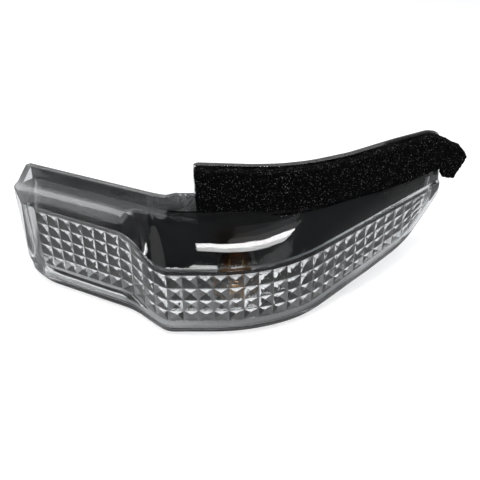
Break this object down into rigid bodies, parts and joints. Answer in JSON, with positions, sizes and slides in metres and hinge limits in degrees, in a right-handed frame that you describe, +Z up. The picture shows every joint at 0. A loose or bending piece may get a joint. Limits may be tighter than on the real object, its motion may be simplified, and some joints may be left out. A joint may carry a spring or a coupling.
{
  "type": "door mirror indicator lamp",
  "caption": "Long curved clear indicator lamp for a door mirror, with prism rows, a dark housing, an amber wedge bulb in a twist-in holder and a foam strip.",
  "frame": {"origin": "centre of the main screw hole, on the rear face of its ear", "axes": "+X along the lamp towards its long tip, +Y backwards out of the screw hole, -Y the way the lamp looks, +Z up"},
  "size_m": [0.2117, 0.0789, 0.0686],
  "materials": {
    "clear_lens": "clear glossy acrylic",
    "black_housing": "smooth black moulded plastic",
    "black_bezel": "glossy black plastic",
    "black_foam": "open-cell black foam",
    "amber_glass": "amber bulb glass",
    "lead_wire": "bare nickel wire",
    "filament_wire": "bare tungsten wire",
    "dark_holder": "dark moulded plastic",
    "seal_rubber": "soft black rubber",
    "terminal_brass": "bright brass blade",
    "cap_rubber": "black rubber"
  },
  "bodies": {
    "root": {"lens": "clear_lens", "housing": "black_housing", "inner_bezel": "black_bezel", "foam_strip": "black_foam", "bulb_glass": "amber_glass", "bulb_leads": "lead_wire", "filament": "filament_wire", "bulb_holder": "dark_holder", "holder_seal": "seal_rubber", "left_terminal": "terminal_brass", "right_terminal": "terminal_brass", "breather_cap": "cap_rubber"}
  },
  "joints": []
}
